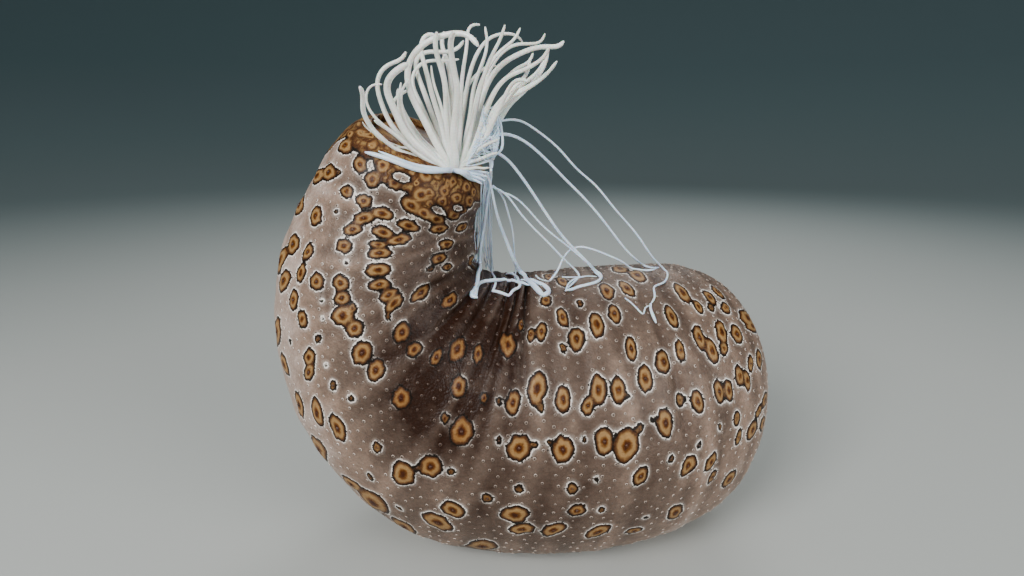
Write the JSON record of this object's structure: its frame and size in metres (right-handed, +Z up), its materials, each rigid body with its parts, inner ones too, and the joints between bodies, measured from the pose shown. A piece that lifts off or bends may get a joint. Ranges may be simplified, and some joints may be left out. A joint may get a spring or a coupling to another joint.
{
  "type": "sea cucumber",
  "caption": "Leopard sea cucumber with its hind end raised and white sticky tubules thrown out, a still life-size museum model.",
  "frame": {"origin": "on the floor at the flat end of the middle tube foot of the sole, under the middle of the body", "axes": "+X towards the mouth end, +Z up, -Y towards the viewer of the picture"},
  "size_m": [0.2002, 0.116, 0.202],
  "materials": {
    "skin": "moist satin skin, mauve brown with ochre eye spots ringed in black and cream",
    "mouth": "moist satin",
    "sole": "moist satin, pale",
    "tubules": "wet, slightly see-through white",
    "threads": "wet, bluish white"
  },
  "bodies": {
    "root": {"mouth_end": "skin", "mouth": "mouth", "fore_trunk": "skin", "mid_trunk": "skin", "bend_lower": "skin", "bend_upper": "skin", "hind_trunk": "skin", "anal_end": "skin", "sole": "sole", "tubule_fan": "tubules", "threads_spanning": "threads", "threads_hanging": "threads"}
  },
  "joints": []
}
